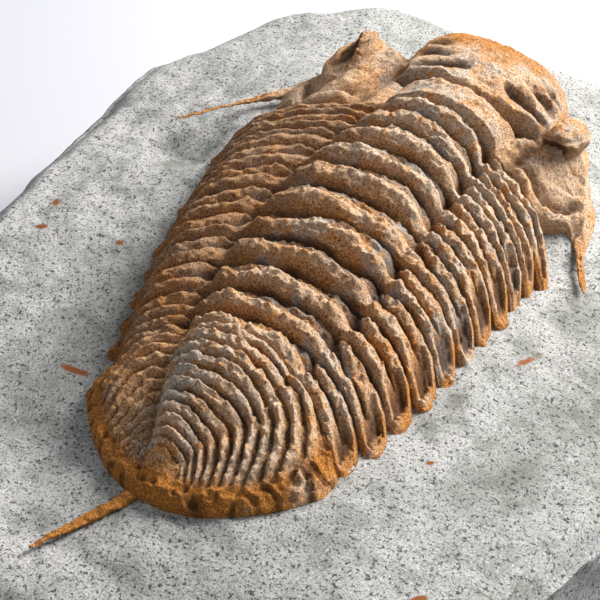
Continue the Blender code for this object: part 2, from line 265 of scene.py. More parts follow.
def lay(x, s, z):
    """Turn the fossil's own coordinates into places on the slab."""
    u = np.clip((s - BEND_CENTRE) / BEND_LENGTH, *BEND_LIMITS)
    yaw = YAW[0] * u + YAW[1] * u * u
    roll = ROLL[0] + ROLL[1] * u
    across = x * np.cos(roll) + z * np.sin(roll)
    height = z * np.cos(roll) - x * np.sin(roll)
    side = SIDE_SHIFT[0] * u * u + SIDE_SHIFT[1] * u ** 3
    px = side + across * np.cos(yaw) + FOSSIL_SHIFT[0]
    py = s + across * np.sin(yaw) + FOSSIL_SHIFT[1]
    return np.stack([px, py, height + BED_HEIGHT], axis=-1)


def unlay(px, py):
    """Fossil coordinates of a place on the bed, found by a few corrections."""
    x = px - FOSSIL_SHIFT[0]
    s = py - FOSSIL_SHIFT[1]
    for _ in range(12):
        laid = lay(x, s, 0 * x)
        x = x - 0.7 * (laid[..., 0] - px)
        s = s - 0.7 * (laid[..., 1] - py)
    return x, s


def bed_tilt(x, s):
    """Height of the bed beside the body, which follows its twist and evens out further off."""
    u = np.clip((s - BEND_CENTRE) / BEND_LENGTH, *BEND_LIMITS)
    roll = ROLL[0] + ROLL[1] * u
    reach = np.minimum(np.abs(x), HEAD_HALF_WIDTH)
    beyond = np.maximum(np.abs(x) - HEAD_HALF_WIDTH, 0)
    fade = np.where(x < 0, np.exp(-(beyond / 16) ** 2), np.exp(-(beyond / 40) ** 2))
    ends = np.exp(-(np.maximum(s - HEAD_FRONT, 0) / 22) ** 2 - (np.maximum(4 - s, 0) / 9) ** 2)
    return -np.sign(x) * reach * np.sin(roll) * fade * ends


def pleura_reach(x, s):
    """Zero at the furrow beside the axis and one at the pleural tips."""
    axis = along(AXIS_HALF_WIDTH, s)
    return np.clip((np.abs(x) - axis) / (along(HALF_WIDTH, s) - axis), 0, 1.2)


def sweep(x, s):
    """How far back the pleurae have swung at x."""
    return along(TIP_SWEEP, s) * pleura_reach(x, s)


def arch(x, s):
    """Smooth height of the thorax over the bed."""
    axis = np.clip(1 - (x / along(AXIS_HALF_WIDTH, s)) ** 2, 0, 1) ** 0.8
    furrow = along(FURROW_HEIGHT, s)
    tip = along(TIP_HEIGHT, s)
    side = tip + (furrow - tip) * (1 - np.minimum(pleura_reach(x, s), 1) ** PLEURA_POWER)
    return side + (along(AXIS_HEIGHT, s) - furrow) * axis


def boundary(index, x):
    """Line between two plates, swept back like the pleurae; index 0 is behind the head shield."""
    if index == 0:
        s = 1.5 * STATIONS[0] - 0.5 * STATIONS[1]
    else:
        s = 0.5 * (STATIONS[index - 1] + STATIONS[index])
    return s - sweep(x, s)


def core(x, s):
    """Top of the rock that fills the fossil: a dome on the bed, under the plates' skin."""
    neck = STATIONS[0] + 4
    ahead = np.maximum(s - neck, 0) / (HEAD_FRONT - 3 - neck)
    behind = np.maximum(STATIONS[-1] - s, 0) / (STATIONS[-1] - TAIL_END)
    aside = x / along(HALF_WIDTH, s)
    dome = np.clip(1 - aside ** 2 - ahead ** 2 - behind ** 2, 0, 1) ** 1.5
    return (along(FURROW_HEIGHT, s) + BED_DROP - AXIS_SKIN) * dome - BED_DROP


def tail_half_width(s):
    """Half width of the tail shield's margin at s."""
    reach = STATIONS[-1] - TIP_SWEEP[0] - TAIL_END
    t = np.clip((s - TAIL_END) / reach, 0, 1)
    return TAIL_HALF_WIDTH * np.sqrt(np.clip(1 - (1 - t) ** TAIL_POWER, 0, 1))


def head_front(x):
    """Front margin of the head shield."""
    t = np.clip(np.abs(x) / HEAD_HALF_WIDTH, 0, 1)
    return boundary(0, x) + (HEAD_FRONT - boundary(0, 0.0)) * (1 - t ** 2.4) ** 0.5


def glabella_half_width(s):
    """Half width of the swollen middle of the head, widest near the front."""
    t = np.clip((s - GLABELLA_BACK) / (GLABELLA_FRONT - GLABELLA_BACK), 0, 1)
    wide = GLABELLA_HALF_WIDTH[0] + (GLABELLA_HALF_WIDTH[1] - GLABELLA_HALF_WIDTH[0]) * t
    return wide * np.sqrt(np.clip(1 - np.maximum((t - 0.6) / 0.4, 0) ** 2, 0.02, 1))


# Node groups and materials


def add_node(tree, kind, **values):
    """One node with values set on its sockets by name."""
    node = tree.nodes.new(kind)
    for name, value in values.items():
        node.inputs[name.replace("_", " ")].default_value = value
    return node


def noise(tree, place, scale, detail=4.0, roughness=0.6):
    """Noise on the object's own coordinates; returns its value."""
    node = add_node(tree, "ShaderNodeTexNoise", Scale=scale, Detail=detail, Roughness=roughness)
    tree.links.new(place, node.inputs["Vector"])
    return node.outputs["Fac"]


def spread(tree, value, low, high):
    """Stretch a value so that low becomes zero and high one."""
    node = tree.nodes.new("ShaderNodeMapRange")
    node.interpolation_type = "SMOOTHSTEP"
    tree.links.new(value, node.inputs["Value"])
    node.inputs["From Min"].default_value = low
    node.inputs["From Max"].default_value = high
    return node.outputs["Result"]


def math_node(tree, operation, first, second):
    """Arithmetic on two values, each a socket or a number."""
    node = tree.nodes.new("ShaderNodeMath")
    node.operation = operation
    node.use_clamp = operation in ("ADD", "SUBTRACT")
    for socket, value in zip(node.inputs, (first, second)):
        if isinstance(value, (int, float)):
            socket.default_value = value
        else:
            tree.links.new(value, socket)
    return node.outputs["Value"]


def blend(tree, factor, first, second):
    """Mix two colours, each a socket or a tuple, by a factor."""
    node = tree.nodes.new("ShaderNodeMix")
    node.data_type = "RGBA"
    for index, value in ((0, factor), (6, first), (7, second)):
        socket = node.inputs[index]
        if isinstance(value, tuple):
            socket.default_value = (*value, 1.0)
        elif isinstance(value, (int, float)):
            socket.default_value = value
        else:
            tree.links.new(value, socket)
    return node.outputs[2]


def mottle(tree, value, low, high, colors):
    """Grains between two colours, the first where the value is low."""
    return blend(tree, spread(tree, value, low, high), *colors)


def tint(tree, mask, share, color, new_color):
    """Cover a share of a colour with a new one where the mask is."""
    return blend(tree, math_node(tree, "MULTIPLY", mask, share), color, new_color)


def grit_group():
    """Mineral grit: dark and pale specks and a fine relief, shared by rock and crust."""
    tree = bpy.data.node_groups.new("mineral_grit", "ShaderNodeTree")
    face = tree.interface
    face.new_socket("Place", in_out="INPUT", socket_type="NodeSocketVector")
    face.new_socket("Speck size", in_out="INPUT", socket_type="NodeSocketFloat")
    face.new_socket("Speck share", in_out="INPUT", socket_type="NodeSocketFloat")
    for name in ("Dark specks", "Pale specks", "Relief"):
        face.new_socket(name, in_out="OUTPUT", socket_type="NodeSocketFloat")
    start = tree.nodes.new("NodeGroupInput")
    end = tree.nodes.new("NodeGroupOutput")
    rate = math_node(tree, "DIVIDE", 1.0, start.outputs["Speck size"])
    masks = []
    for detail, factor in ((3.0, 1.0), (2.0, 0.83)):
        node = add_node(tree, "ShaderNodeTexNoise", Detail=detail, Roughness=0.7)
        tree.links.new(start.outputs["Place"], node.inputs["Vector"])
        tree.links.new(math_node(tree, "MULTIPLY", rate, factor), node.inputs["Scale"])
        masks.append(node.outputs["Fac"])
    share = math_node(tree, "MULTIPLY", start.outputs["Speck share"], 0.4)
    edge = math_node(tree, "SUBTRACT", 0.72, share)
    dark = math_node(tree, "MULTIPLY", math_node(tree, "SUBTRACT", masks[0], edge), 14.0)
    pale = math_node(tree, "MULTIPLY", math_node(tree, "SUBTRACT", masks[1], 0.58), 9.0)
    fine = noise(tree, start.outputs["Place"], 5200.0, 3.0, 0.7)
    relief = math_node(tree, "MULTIPLY", math_node(tree, "ADD", masks[1], fine), 0.5)
    tree.links.new(spread(tree, dark, 0.0, 1.0), end.inputs["Dark specks"])
    tree.links.new(spread(tree, pale, 0.0, 1.0), end.inputs["Pale specks"])
    tree.links.new(relief, end.inputs["Relief"])
    return tree


def place_grit(tree, place, size, share):
    """The grit group in a material, with its own speck size and share."""
    node = tree.nodes.new("ShaderNodeGroup")
    node.node_tree = bpy.data.node_groups["mineral_grit"]
    tree.links.new(place, node.inputs["Place"])
    node.inputs["Speck size"].default_value = size
    node.inputs["Speck share"].default_value = share
    return node.outputs


def new_material(name, roughness, specular):
    """A material with its own shader, and the object's coordinates to read."""
    material = bpy.data.materials.new(name)
    material.use_nodes = True
    tree = material.node_tree
    shader = tree.nodes["Principled BSDF"]
    shader.inputs["Roughness"].default_value = roughness
    shader.inputs["Specular IOR Level"].default_value = specular
    place = tree.nodes.new("ShaderNodeTexCoord").outputs["Object"]
    return material, tree, shader, place


def attribute(tree, name):
    """A value stored on the piece's points."""
    node = tree.nodes.new("ShaderNodeAttribute")
    node.attribute_name = name
    return node.outputs["Fac"]


def relief(tree, shader, height, distance, strength):
    """Fine relief in the surface's shading."""
    bump = add_node(tree, "ShaderNodeBump", Strength=strength, Distance=distance)
    tree.links.new(height, bump.inputs["Height"])
    tree.links.new(bump.outputs["Normal"], shader.inputs["Normal"])


def crust_material():
    """Grainy rust brown shell: hollows darkened with painted shade and brown staining, tan tops partly
    worn and partly painted light, grey stone left in furrows, ochre rims.
    """
    material, tree, shader, place = new_material("fossil_crust_grainy", 0.78, 0.22)
    hollow = attribute(tree, "hollow")
    worn = attribute(tree, "worn")
    ochre = attribute(tree, "ochre")
    stone = attribute(tree, "stone")
    broad = noise(tree, place, 170.0, 3.0, 0.55)
    middle = noise(tree, place, 620.0, 4.0, 0.7)
    fine = noise(tree, place, 4600.0, 4.0, 0.8)
    grit = place_grit(tree, place, 0.00030, 0.37)
    brown = mottle(tree, fine, 0.38, 0.58, BROWN)
    rusty = mottle(tree, fine, 0.38, 0.58, RUSTY)
    color = blend(tree, spread(tree, broad, 0.44, 0.62), brown, rusty)
    tan = mottle(tree, fine, 0.37, 0.58, TAN)
    # Tan tops: wear together with painted light, paler near the head and less tan on the left side, away
    # from the light
    color = tint(tree, worn, spread(tree, middle, 0.34, 0.50), color, tan)
    grey = mottle(tree, fine, 0.38, 0.64, GREY)
    color = tint(tree, stone, spread(tree, middle, 0.38, 0.54), color, grey)
    gold = mottle(tree, fine, 0.38, 0.62, GOLD)
    color = blend(tree, ochre, color, gold)
    flecks = math_node(tree, "SUBTRACT", 0.42, math_node(tree, "MULTIPLY", ochre, 0.36))
    color = tint(tree, grit["Pale specks"], flecks, color, CRUST_FLECK)
    # Near-black in the hollows: painted shade together with brown staining
    color = tint(tree, hollow, 0.86, color, CRUST_SHADE_AND_STAIN)
    color = tint(tree, grit["Dark specks"], 0.62, color, CRUST_SPECK)
    tree.links.new(color, shader.inputs["Base Color"])
    sharp = noise(tree, place, 8200.0, 3.0, 0.7)
    coarse_part = math_node(tree, "MULTIPLY", fine, 0.6)
    height = math_node(tree, "ADD", coarse_part, math_node(tree, "MULTIPLY", sharp, 0.4))
    relief(tree, shader, spread(tree, height, 0.32, 0.68), 0.00026, 0.9)
    return material


def rock_material():
    """Pale grey limestone, densely speckled, with rust marks, fine veins and greenish patches that are
    partly painted shadow.
    """
    material, tree, shader, place = new_material("matrix_rock_speckled", 0.9, 0.2)
    broad = noise(tree, place, 34.0, 4.0, 0.55)
    middle = noise(tree, place, 260.0, 4.0, 0.6)
    rust = attribute(tree, "rust")
    shade = attribute(tree, "shade")
    veined = attribute(tree, "veined")
    grit = place_grit(tree, place, 0.00042, 0.42)
    fine = place_grit(tree, place, 0.00023, 0.54)
    color = mottle(tree, broad, 0.35, 0.68, (ROCK_PALE, ROCK_GREY))
    color = blend(tree, spread(tree, middle, 0.44, 0.66), color, ROCK_MOTTLE)
    color = tint(tree, fine["Pale specks"], 0.6, color, ROCK_FLECK)
    # Greenish patches, partly painted shadow beside the body
    color = tint(tree, shade, 0.75, color, ROCK_GREEN_AND_SHADOW)
    color = tint(tree, fine["Dark specks"], 0.6, color, ROCK_FINE_SPECK)
    color = tint(tree, grit["Dark specks"], 0.9, color, ROCK_SPECK)
    strand = noise(tree, place, 60.0, 2.0, 0.5)
    low = math_node(tree, "MULTIPLY", math_node(tree, "SUBTRACT", strand, 0.5), 90.0)
    high = math_node(tree, "MULTIPLY", math_node(tree, "SUBTRACT", 0.5, strand), 90.0)
    vein = math_node(tree, "SUBTRACT", 1.0, math_node(tree, "ADD", low, high))
    color = tint(tree, vein, veined, color, ROCK_VEIN)
    stain = math_node(tree, "ADD", rust, math_node(tree, "MULTIPLY", fine["Relief"], 0.8))
    color = blend(tree, spread(tree, stain, 0.6, 1.0), color, ROCK_RUST)
    tree.links.new(color, shader.inputs["Base Color"])
    relief(tree, shader, fine["Relief"], 0.0003, 0.7)
    return material


# Meshes


def blank(columns, rows):
    """A closed sheet: a fine grid for the top and a copy of it below, joined at the edges."""
    mesh = bmesh.new()
    bmesh.ops.create_grid(mesh, x_segments=columns, y_segments=rows, size=1.0)
    grown = bmesh.ops.extrude_face_region(mesh, geom=mesh.faces[:], use_keep_orig=True)
    upper = [item for item in grown["geom"] if isinstance(item, bmesh.types.BMVert)]
    bmesh.ops.translate(mesh, verts=upper, vec=(0, 0, 1))
    return mesh


def rod(sides, lengths):
    """An upright rod of radius and length one, cut into short lengths."""
    mesh = bmesh.new()
    bmesh.ops.create_cone(mesh, cap_ends=True, segments=sides, radius1=1.0, radius2=1.0, depth=1.0)
    upright = [edge for edge in mesh.edges if abs(edge.verts[0].co.z - edge.verts[1].co.z) > 0.5]
    bmesh.ops.subdivide_edges(mesh, edges=upright, cuts=lengths - 1)
    caps = [face for face in mesh.faces if len(face.verts) > 4]
    for _ in range(3):
        bmesh.ops.inset_region(mesh, faces=caps, thickness=0.22, use_even_offset=True)
    return mesh


def points_of(mesh):
    """Places of all points as an array."""
    return np.array([vert.co for vert in mesh.verts])


def move_points(mesh, places):
    """Put every point at its new place, given in millimetres."""
    for vert, place in zip(mesh.verts, (places * MM).tolist()):
        vert.co = place


def build(name, node, material, meshes):
    """Join shaped meshes, each with its masks, into one finished piece."""
    data = bpy.data.meshes.new(name)
    whole = bmesh.new()
    masks = {}
    for mesh, values in meshes:
        bmesh.ops.recalc_face_normals(mesh, faces=mesh.faces)
        part = bpy.data.meshes.new(name + "_part")
        mesh.to_mesh(part)
        mesh.free()
        whole.from_mesh(part)
        bpy.data.meshes.remove(part)
        for key, value in values.items():
            masks.setdefault(key, []).append(value)
    whole.to_mesh(data)
    whole.free()
    for key, values in masks.items():
        store = data.attributes.new(key, "FLOAT", "POINT")
        store.data.foreach_set("value", np.concatenate(values).astype(np.float32))
    data.shade_smooth()
    data.materials.append(material)
    piece = bpy.data.objects.new(name, data)
    bpy.context.scene.collection.objects.link(piece)
    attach(piece, "root")
    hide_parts(node)
    return piece


def crust_masks(count, **given):
    """The four masks of the crust, zero where a piece gives none."""
    masks = {}
    for key in ("hollow", "worn", "ochre", "stone"):
        masks[key] = np.clip(given.get(key, np.zeros(count)), 0, 1)
    return masks


def crust_relief(places, seed):
    """Lumps and grains of the mineral crust, in millimetres."""
    lumps = 0.28 * grain(places, 2.6, seed) + 0.24 * grain(places, 1.2, seed + 3)
    strands = 0.26 * grain(places * (0.35, 1.3, 1.3), 0.8, seed + 4)
    grains = 0.26 * grain(places, 0.62, seed + 1) + 0.26 * grain(places, 0.36, seed + 2)
    return lumps + strands + grains


def sheet_piece(shape, cells, seed, roughness=1.0):
    """Shape a closed sheet; shape gives the places of its top and the masks of its colours."""
    mesh = blank(*cells)
    flat = points_of(mesh)
    x, s, z, masks = shape(flat[:, 0], flat[:, 1])
    upper = flat[:, 2] > 0.5
    smooth_place = np.stack([x, s, z], axis=-1)
    calm = (1 - 0.45 * masks["ochre"]) * (0.65 + 0.35 * smooth(-8, -2, x))
    z = z + roughness * calm * crust_relief(smooth_place, seed)
    z = np.where(upper, z, core(x, s) - SKIN_DEPTH)
    move_points(mesh, lay(x, s, z))
    return mesh, masks


def segment_shape(index):
    """One thoracic segment: a thick ring that runs on as the hind band, and a fore band beside it."""
    random = np.random.default_rng(100 + index)
    width = float(along(HALF_WIDTH, STATIONS[index - 1])) + random.uniform(-0.45, 0.2)
    lean = random.uniform(-0.06, 0.06)

    def shape(a, b):
        x = a * width
        here = boundary(index, x) + PLATE_GAP
        there = boundary(index - 1, x) - PLATE_GAP
        middle = 0.45 * here + 0.55 * there
        closing = np.sqrt(np.clip(1 - (np.clip(np.abs(a) - 0.9, 0, 1) / 0.1) ** 2, 0.015, 1))
        here = middle + (here - middle) * closing
        there = middle + (there - middle) * closing
        s = here + 0.5 * (b + 1) * (there - here)
        inward = np.minimum((1 - np.abs(b)) * 0.5 * (there - here), (1 - np.abs(a)) * width)
        places = np.stack([x, s, 0 * x], axis=-1)
        unrest = 0.26 * grain(places, 4.4, 7 + index) + 0.1 * grain(places, 1.7, 8 + index)
        b = b + unrest * (1 - b * b)
        reach = pleura_reach(x, s)
        side = smooth(0.7, 1.3, np.abs(x) / along(AXIS_HALF_WIDTH, s))
        hind = rope(b, -0.32 - 0.14 * side + lean, 0.68 - 0.18 * side - 0.06 * reach)
        fore_width = 0.10 + 0.34 * smooth(0.0, 0.32, reach)
        fore = rope(b, 0.99 - fore_width, fore_width) * smooth(-0.02, 0.1, reach)
        half_ring = 0.5 * rope(b, 0.45, 0.54) * (1 - side)
        top = np.maximum(np.maximum(hind, 0.86 * fore * side), half_ring)
        tip = smooth(0.78, 0.9, np.abs(a))
        top = top * (1 - tip) + (0.5 + 0.5 * ridge(inward, 0.62, 0.42)) * tip
        depth = 2.5 - 0.8 * side + 0.6 * grain(places, 5.0, 20 + index)
        pit = smooth(0.80, 0.9, np.abs(a)) * smooth(0.8, 1.4, inward)
        edge = (0.5 + along(TIP_HEIGHT, s)) * smooth(0.92, 1.0, np.abs(a)) ** 1.5
        z = arch(x, s) + 0.5 - depth * (1 - top) - 0.25 * pit - edge
        z = z - 0.8 * ridge(np.abs(x) / along(AXIS_HALF_WIDTH, s), 1.08, 0.12)
        z = z + 0.35 * grain(places, 1.9, 30 + index) * (1 - side)
        z = np.maximum(z, 0.85 * smooth(0.5, 1.1, inward))
        low = smooth(0.72, 0.22, top)
        flank = smooth(0.98, 0.6, top)
        residue = patches(places, 3.4, 90 + index, 0.48, 0.72)
        residue = residue + 0.7 * (1 - side) * smooth(0.2, 0.5, b) * patches(places, 2.6, 91, 0.3, 0.6)
        stone = residue * (0.35 + 0.65 * smooth(0.9, 0.5, top))
        # Dark between the rings and in the tip pits: painted shade together with brown staining
        hollow = np.maximum(low * (0.8 + 0.5 * grain(places, 2.1, 50 + index)), pit)
        worn = (1 - flank) * (0.7 + 0.5 * grain(places, 3.2, 70 + index))
        # Painted light and shade: on the left side, away from the light, the tops get less tan and less
        # grey stone and the hollows a painted shade; near the head the tops are paler and the hollows
        # fewer
        lit = smooth(-8, -2, x)
        worn = worn * (0.25 + 0.75 * lit) + 0.9 * smooth(42, 60, s) * top * (0.25 + 0.75 * lit)
        hollow = np.maximum(hollow * (1 - 0.4 * smooth(45, 60, s)), 0.42 * (1 - lit))
        stone = stone * (0.5 + 0.5 * lit)
        ochre = 0.85 * smooth(0.84, 0.95, reach) * patches(places, 1.6, 95, 0.2, 0.5) * (1 - pit)
        return x, s, z, crust_masks(len(x), hollow=hollow, worn=worn, stone=stone, ochre=ochre)
    return shape


def make_segments(material):
    """The eleven thoracic segments."""
    for index in range(1, THORAX_SEGMENTS + 1):
        part = sheet_piece(segment_shape(index), SEGMENT_CELLS, 200 + 10 * index)
        name = f"thorax_segment_{index:02d}"
        build(name + "_crust", name, material, [part])


def tail_shape(a, b):
    """Tail shield: narrow rings and ribs that swing back into a thick pitted border."""
    x = a * (TAIL_HALF_WIDTH - 0.1)
    front = boundary(THORAX_SEGMENTS, x) - PLATE_GAP
    t = np.clip(np.abs(x) / TAIL_HALF_WIDTH, 0, 1)
    reach = STATIONS[-1] - TIP_SWEEP[0] - TAIL_END
    margin = TAIL_END + reach * (1 - (1 - t * t) ** (1 / TAIL_POWER))
    back = np.minimum(margin, front - 1.6)
    s = back + 0.5 * (b + 1) * (front - back)
    places = np.stack([x, s, 0 * x], axis=-1)
    inward = np.maximum(tail_half_width(s) - np.abs(x), 0)
    inward = np.minimum(inward, 1.1 * (s - back) + 0.2)
    end = smooth(TAIL_END - 2, STATIONS[-1], s)
    rise = along(FURROW_HEIGHT, STATIONS[-1]) - TAIL_RIM_HEIGHT
    side = TAIL_RIM_HEIGHT + rise * end * smooth(0, 6.0, inward)
    side = side + 0.9 * smooth(0, 1.2, inward) - 0.5
    taper = smooth(TAIL_RACHIS_END - 4.0, STATIONS[-1], s)
    axis_width = 1.2 + 4.9 * taper
    axis = np.clip(1 - (x / axis_width) ** 2, 0, 1) ** 0.8
    axis = axis * smooth(TAIL_RACHIS_END - 3, TAIL_RACHIS_END + 1, s)
    z = side + (1.4 + 1.7 * taper) * axis
    outside = np.maximum(np.abs(x) - axis_width, 0)
    swing = outside * (0.62 + 0.55 * (1 - end)) + 0.02 * outside ** 2
    station = np.clip((s + swing - TAIL_RACHIS_END) / (STATIONS[-1] + 1.4 - TAIL_RACHIS_END), 0, 1.4)
    turn = TAIL_RINGS * station ** 0.78 + 0.2 * grain(places, 3.0, 31) + 0.06 * grain(places, 1.1, 38)
    wave = 0.5 + 0.5 * np.cos(2 * np.pi * turn)
    groove = smooth(0.0, 0.55, wave)
    on_axis = smooth(1.12, 0.92, np.abs(x) / axis_width)
    ribs = smooth(TAIL_BORDER * 0.75, TAIL_BORDER * 1.5, inward)
    strength = np.maximum(on_axis, 0.85) * ribs * smooth(-0.02, 0.05, station)
    second = 0.22 * (1 - on_axis) * np.cos(4 * np.pi * turn + 0.6)
    z = z + strength * (0.95 * groove - 0.6 + second)
    z = z - 0.5 * ridge(np.abs(x) / axis_width, 1.08, 0.14) * ribs
    # Dark grooves between the rings: painted shade together with brown staining
    hollow = strength * smooth(0.5, 0.1, groove) * (0.75 + 0.4 * grain(places, 1.6, 32))
    worn = strength * smooth(0.45, 0.85, groove) * (1.0 + 0.6 * grain(places, 2.2, 33))
    # Painted shade: less tan on the left side, away from the light
    worn = worn * (0.3 + 0.9 * smooth(-6, -2, x))
    stone = (0.25 + 0.5 * on_axis) * strength * patches(places, 2.6, 34, 0.4, 0.85)
    ochre = (1 - ribs) * smooth(0.1, 0.5, 0.55 + 0.5 * grain(places, 2.6, 35))
    rough = (0.2 * grain(places, 0.55, 36) + 0.22 * grain(places, 1.3, 39)) * (1 - ribs)
    pits = smooth(0.25, 0.7, grain(places, 0.8, 37)) * (1 - ribs)
    z = z + rough - 0.35 * pits
    chip = oval(x, s, *TAIL_CHIP)
    z = z - 0.3 * smooth(0.3, 0.6, chip)
    rim = ridge(chip, 0.3, 0.12)
    worn = np.maximum(worn, smooth(0.35, 0.55, chip))
    ochre = ochre * (1 - 0.5 * smooth(0.3, 0.6, chip))
    undercut = oval(x, s, *TAIL_UNDERCUT)
    z = z - 0.5 * undercut
    # Pits, the chip's rim and the undercut darkened: painted shade together with brown staining
    hollow = hollow + 0.8 * pits * (1 - chip) + 0.6 * rim + 1.2 * undercut
    return x, s, z, crust_masks(len(x), hollow=hollow, worn=worn, stone=stone, ochre=ochre)


def tail_spine():
    """The long ochre spine behind the tail shield, lying on the bed."""
    mesh = rod(28, 90)
    flat = points_of(mesh)
    t = flat[:, 2] + 0.5
    root = lay(*SPINE_ROOT, 0.0)
    thick = SPINE_WIDTH * (1 - 0.78 * t) * (1 + 0.12 * grain(flat * (1, 1, 9), 1.0, 61))
    wiggle = 0.2 * np.sin(5.5 * t + 0.4)
    shift = flat[:, 0] * thick * 0.8 + wiggle
    px = root[0] + t * SPINE_LENGTH * np.sin(SPINE_YAW) + shift * np.cos(SPINE_YAW)
    py = root[1] - t * SPINE_LENGTH * np.cos(SPINE_YAW) + shift * np.sin(SPINE_YAW)
    tilt = bed_tilt(*unlay(px, py))
    pz = BED_HEIGHT + tilt - 0.35 + 0.6 * (1 - t) ** 2 + flat[:, 1] * thick * 0.6
    places = np.stack([px, py, pz], axis=-1)
    places[:, 2] += 0.5 * crust_relief(places, 62)
    move_points(mesh, places)
    masks = crust_masks(len(t), ochre=0.95 + 0 * t, worn=0.1 + 0 * t)
    return mesh, masks


def make_tail(material):
    """Tail shield with its spine."""
    parts = [sheet_piece(tail_shape, TAIL_CELLS, 500), tail_spine()]
    build("pygidium_crust", "pygidium", material, parts)


def head_shape(a, b):
    """Head shield: neck ring, lobed glabella, cheeks with a raised hind border and a rim."""
    x = a * (HEAD_HALF_WIDTH - 2.2)
    back = boundary(0, x) + PLATE_GAP + CORNER_CUT * smooth(14.5, 20.0, np.abs(x))
    front = np.maximum(head_front(x), back + HEAD_SIDE_LENGTH)
    s = back + 0.5 * (b + 1) * (front - back)
    places = np.stack([x, s, 0 * x], axis=-1)
    inward = np.minimum(1 - np.abs(x) / HEAD_HALF_WIDTH, (front - s) / 20.0)
    cheek = HEAD_RIM_HEIGHT + (CHEEK_HEIGHT - HEAD_RIM_HEIGHT) * smooth(-0.08, 0.42, inward)
    wide = glabella_half_width(s)
    off = np.abs(x) / wide
    across = np.clip(1 - off ** 2, 0, 1) ** 0.55
    lengthways = smooth(GLABELLA_BACK - 0.8, GLABELLA_BACK + 1.0, s)
    middle = GLABELLA_BACK + 5.5
    fall = np.maximum(s - middle, 0) / (GLABELLA_FRONT - middle + 0.4)
    rise = np.clip(1 - fall ** 2.2, 0, 1) ** 0.6
    swollen = (GLABELLA_HEIGHT - 0.9 - cheek) * across * lengthways * rise
    lobes = 0.0
    for station, depth, inner in LOBE_FURROWS:
        line = station + 2.6 * (0.8 - off) + 0.9 * grain(places, 3.0, 48)
        reach = smooth(inner, inner + 0.25, off) * smooth(1.05, 0.85, off)
        lobes = lobes + depth * ridge(s, line, 0.75) * reach
    knobs = 0.5 * grain(places, 3.1, 51) * across * smooth(79, 76, s)
    neck = along(AXIS_HEIGHT, STATIONS[0]) - CHEEK_HEIGHT
    ring = (neck + 0.4) * np.clip(1 - (x / NECK_RING_HALF_WIDTH) ** 2, 0, 1) ** 0.6
    ring = ring * smooth(GLABELLA_BACK - 0.3, GLABELLA_BACK - 1.3, s)
    furrow = ridge(s, GLABELLA_BACK - 0.5, 0.6) * smooth(1.35, 0.9, off)
    furrow = np.maximum(furrow, ridge(off, 1.07, 0.09) * smooth(83.5, 79, s))
    behind = s - back
    aside = smooth(1.0, 1.3, off)
    border = aside * ridge(behind, 0.9, 0.85) * smooth(1.0, 0.8, np.abs(a))
    groove = aside * ridge(behind, 2.7, 0.8) * smooth(1.0, 0.85, np.abs(a))
    eye_x = np.where(x < 0, EYE_PLACES[-1][0], EYE_PLACES[1][0])
    away = np.hypot(np.abs(x) - eye_x + 0.6, 1.1 * (s - EYE_PLACES[1][1]))
    stalk = np.where(x < 0, EYE_STALK_HEIGHT[-1], EYE_STALK_HEIGHT[1]) * ridge(away, 0, 4.4)
    stalk = stalk * smooth(0.02, 0.28, inward)
    ledge = 0.9 * ridge(s, LEDGE_STATION + 0.1 * (np.abs(x) - 8), 0.9)
    ledge = ledge * smooth(7.5, 9.5, np.abs(x)) * smooth(14, 12, np.abs(x))
    rim = 0.8 * ridge(np.abs(a), 0.94, 0.05) * smooth(0.3, -0.2, b)
    trough = 0.9 * ridge(np.abs(a), 0.80, 0.07) * smooth(0.5, 0.0, b)
    z = cheek + np.maximum(swollen, ring) + knobs - lobes - furrow + border - 0.9 * groove
    corner = 1.8 * smooth(0.5, 0.0, 0.5 * (b + 1)) * smooth(0.62, 0.92, np.abs(a))
    z = z + stalk + ledge + rim - trough - corner
    z = z - 0.7 * smooth(0.97, 1.0, np.abs(b)) - 0.4 * smooth(0.985, 1.0, np.abs(a))
    # Dark furrows, grooves and lobe furrows: painted shade together with brown staining
    hollow = np.maximum(np.maximum(furrow, 0.9 * groove), np.minimum(0.95 * lobes, 0.95))
    hollow = hollow * (0.8 + 0.4 * grain(places, 2.0, 41))
    hollow = hollow + 0.16 * smooth(74.5, 80.0, s) * smooth(1.15, 0.95, off)
    patchy = s + 2.6 * grain(places, 3.0, 49) + 1.6 * grain(places, 1.2, 52)
    frontal = smooth(74.5, 80.0, patchy) * smooth(1.15, 0.95, off)
    ochre = 0.72 * frontal * (0.8 + 0.35 * grain(places, 1.5, 53)) * smooth(14, -2, x)
    worn = smooth(0.3, 0.9, across + border + stalk / 3) * (0.45 + 0.4 * grain(places, 3.0, 43))
    worn = worn * (1 - ochre)
    # Painted light: the cheeks, and the even lift of 0.3 added below, make the head shield paler
    cheeks = smooth(1.2, 1.5, off) * (0.35 + 0.3 * grain(places, 4.0, 50))
    stone = patches(places, 3.1, 44, 0.5, 0.8) * (1 - frontal) * smooth(1.6, 1.1, off)
    stone = 0.55 * np.maximum(stone, 1.4 * np.minimum(lobes, 1) * np.where(x < 0, 1, 0.2))
    worn = (worn + cheeks + 0.3) * (1 - 0.8 * frontal * smooth(13, 2, x))
    return x, s, z, crust_masks(len(x), hollow=hollow, worn=worn, stone=stone, ochre=ochre)


